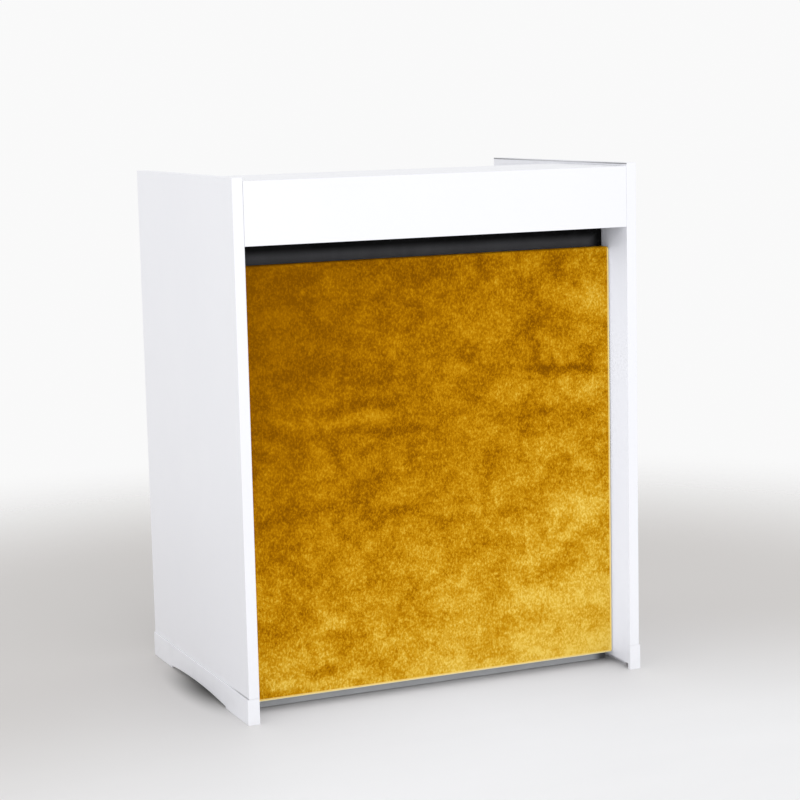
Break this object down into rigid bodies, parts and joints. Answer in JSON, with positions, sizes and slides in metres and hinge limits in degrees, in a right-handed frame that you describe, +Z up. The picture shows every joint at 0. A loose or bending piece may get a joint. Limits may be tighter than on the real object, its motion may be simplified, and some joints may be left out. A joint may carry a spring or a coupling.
{
  "type": "event counter",
  "caption": "White free-standing event counter with raised side panels, a half-depth top, an open back with shelves and a swap-in gold velvet front insert.",
  "frame": {"origin": "on the floor, under the middle of the cabinet", "axes": "+Z up, -Y towards the guest side with the velvet insert, +Y towards the open back, X across the counter"},
  "size_m": [0.882, 0.61, 1.067],
  "materials": {
    "white_lacquer": "satin white lacquer on MDF",
    "charcoal_lacquer": "matt charcoal lacquer on MDF",
    "insert_board": "raw MDF",
    "gold_velvet": "crushed gold velvet",
    "hook_tape": "black hook tape",
    "loop_tape": "black loop tape",
    "nylon": "dark nylon",
    "zinc_steel": "zinc-plated steel"
  },
  "bodies": {
    "cabinet": {"backing_batten_left": "charcoal_lacquer", "backing_batten_right": "charcoal_lacquer", "backing_panel": "charcoal_lacquer", "backing_screw_1": "zinc_steel", "backing_screw_2": "zinc_steel", "backing_screw_3": "zinc_steel", "backing_screw_4": "zinc_steel", "base_skirt_left": "white_lacquer", "base_skirt_right": "white_lacquer", "batten_screw_1": "zinc_steel", "batten_screw_2": "zinc_steel", "batten_screw_3": "zinc_steel", "batten_screw_4": "zinc_steel", "bracket_screw_1": "zinc_steel", "bracket_screw_2": "zinc_steel", "bracket_screw_3": "zinc_steel", "bracket_screw_4": "zinc_steel", "cleat_screw_1": "zinc_steel", "cleat_screw_2": "zinc_steel", "cleat_screw_3": "zinc_steel", "cleat_screw_4": "zinc_steel", "cleat_screw_5": "zinc_steel", "cleat_screw_6": "zinc_steel", "cleat_screw_7": "zinc_steel", "cleat_screw_8": "zinc_steel", "corner_bracket_left": "zinc_steel", "corner_bracket_right": "zinc_steel", "counter_cleat_left": "white_lacquer", "counter_cleat_right": "white_lacquer", "counter_screw_1": "zinc_steel", "counter_screw_2": "zinc_steel", "counter_top": "white_lacquer", "fascia": "white_lacquer", "fascia_screw_1": "zinc_steel", "fascia_screw_2": "zinc_steel", "fascia_screw_3": "zinc_steel", "front_rail": "white_lacquer", "glide_front_left": "nylon", "glide_front_right": "nylon", "glide_rear_left": "nylon", "glide_rear_right": "nylon", "loop_tape_left": "loop_tape", "loop_tape_right": "loop_tape", "rear_rail": "white_lacquer", "shelf_cleat_left": "white_lacquer", "shelf_cleat_right": "white_lacquer", "shelf_pin_front_left": "zinc_steel", "shelf_pin_front_right": "zinc_steel", "shelf_pin_rear_left": "zinc_steel", "shelf_pin_rear_right": "zinc_steel", "side_panel_left": "white_lacquer", "side_panel_right": "white_lacquer", "work_shelf": "white_lacquer"},
    "insert": {"insert_board": "insert_board", "velvet_cover": "gold_velvet", "hook_tape_left": "hook_tape", "hook_tape_right": "hook_tape"},
    "storage_shelf": {"storage_shelf": "white_lacquer"}
  },
  "joints": [
    {"name": "insert_pull", "type": "slide", "parent": "cabinet", "child": "insert", "axis": [0, -1, 0], "range_m": [0, 0.3]},
    {"name": "shelf_pull", "type": "slide", "parent": "cabinet", "child": "storage_shelf", "axis": [0, 1, 0], "range_m": [0, 0.5]}
  ]
}
